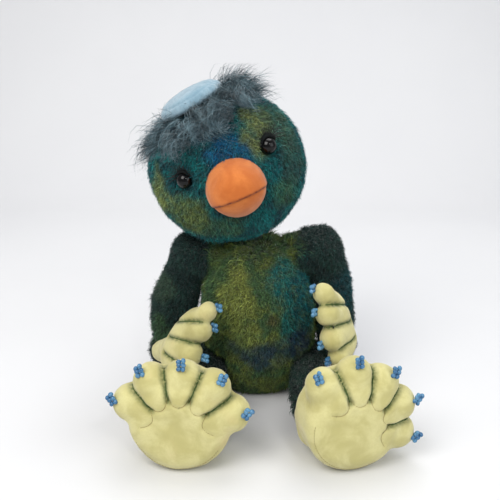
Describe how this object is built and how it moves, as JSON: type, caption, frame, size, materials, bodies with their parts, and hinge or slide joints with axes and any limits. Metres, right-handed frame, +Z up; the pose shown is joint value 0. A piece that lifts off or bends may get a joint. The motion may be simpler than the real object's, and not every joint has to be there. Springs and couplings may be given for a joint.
{
  "type": "jointed plush creature",
  "caption": "Sitting jointed plush creature with a round leaning head, beak, padded crown dish, furry limbs, and suede hands and feet with bead claws.",
  "frame": {"origin": "middle of the flat seat under the torso, on the surface the toy sits on", "axes": "+Z up, the toy faces -Y, its left side is +X"},
  "size_m": [0.2027, 0.1862, 0.2328],
  "materials": {
    "torso_mohair": "dyed short mohair",
    "head_mohair": "dyed short mohair",
    "arm_mohair": "dyed short mohair",
    "leg_mohair": "dyed short mohair",
    "crown_mohair": "long curly mohair",
    "dish_felt": "padded felt",
    "beak_suede": "suede",
    "hand_suede": "suede",
    "foot_suede": "suede",
    "eye_glass": "polished",
    "claw_beads": "glossy beads",
    "lash_thread": "thread",
    "stuffing": "loose fibre",
    "hardboard": "pressed board",
    "steel": "zinc plated"
  },
  "bodies": {
    "torso": {"torso_cover": "torso_mohair", "torso_stuffing": "stuffing", "torso_neck_disc": "hardboard", "torso_neck_washer": "steel", "left_shoulder_disc": "hardboard", "left_shoulder_washer": "steel", "right_shoulder_disc": "hardboard", "right_shoulder_washer": "steel", "left_hip_disc": "hardboard", "left_hip_washer": "steel", "right_hip_disc": "hardboard"},
    "left_arm": {"left_arm_cover": "arm_mohair", "left_arm_stuffing": "stuffing", "left_hand": "hand_suede", "left_hand_claws": "claw_beads", "left_shoulder_bolt": "steel", "left_shoulder_nut": "steel", "left_arm_disc": "hardboard", "left_arm_washer": "steel"},
    "left_leg": {"left_leg_cover": "leg_mohair", "left_leg_stuffing": "stuffing", "left_foot": "foot_suede", "left_foot_stuffing": "stuffing", "left_foot_claws": "claw_beads", "left_hip_bolt": "steel", "left_hip_nut": "steel", "left_leg_disc": "hardboard", "left_leg_washer": "steel"},
    "right_arm": {"right_arm_cover": "arm_mohair", "right_arm_stuffing": "stuffing", "right_hand": "hand_suede", "right_hand_claws": "claw_beads", "right_shoulder_bolt": "steel", "right_shoulder_nut": "steel", "right_arm_disc": "hardboard", "right_arm_washer": "steel"},
    "right_leg": {"right_leg_cover": "leg_mohair", "right_leg_stuffing": "stuffing", "right_foot": "foot_suede", "right_foot_stuffing": "stuffing", "right_foot_claws": "claw_beads", "right_hip_bolt": "steel", "right_hip_nut": "steel", "right_leg_disc": "hardboard", "right_leg_washer": "steel"},
    "neck_pin": {"neck_lower_pin": "steel"},
    "neck_fork": {"neck_upper_pin": "steel", "neck_link_pin": "steel"},
    "head": {"head_neck_disc": "hardboard", "head_neck_washer": "steel", "head_cover": "head_mohair", "head_stuffing": "stuffing", "upper_beak": "beak_suede", "lower_beak": "beak_suede", "left_eye": "eye_glass", "right_eye": "eye_glass", "left_lashes": "lash_thread", "right_lashes": "lash_thread", "crown_hair": "crown_mohair", "crown_dish": "dish_felt"}
  },
  "joints": [
    {"name": "neck_turn", "type": "hinge", "parent": "torso", "child": "neck_pin", "pos_m": [-0.00429, 0, 0.11926], "axis": [-0.061, 0, 0.9981], "range_deg": [-60, 60]},
    {"name": "neck_tilt", "type": "hinge", "parent": "neck_pin", "child": "neck_fork", "pos_m": [-0.00429, 0, 0.11926], "axis": [0, 1, 0], "range_deg": [-4, 36]},
    {"name": "head_turn", "type": "hinge", "parent": "neck_fork", "child": "head", "pos_m": [-0.00429, 0, 0.11926], "axis": [-0.3746, 0, 0.9272], "range_deg": [-80, 80]},
    {"name": "left_shoulder", "type": "hinge", "parent": "torso", "child": "left_arm", "pos_m": [0.03204, 0, 0.10615], "axis": [-0.9848, 0, -0.1736], "range_deg": [0, 60]},
    {"name": "right_shoulder", "type": "hinge", "parent": "torso", "child": "right_arm", "pos_m": [-0.04186, 0, 0.10163], "axis": [-0.9863, 0, 0.165], "range_deg": [0, 45]},
    {"name": "left_hip", "type": "hinge", "parent": "torso", "child": "left_leg", "pos_m": [0.021, -0.008, 0.02], "axis": [1, 0, 0], "range_deg": [0, 95]},
    {"name": "right_hip", "type": "hinge", "parent": "torso", "child": "right_leg", "pos_m": [-0.027, -0.008, 0.02], "axis": [1, 0, 0], "range_deg": [0, 95]}
  ]
}
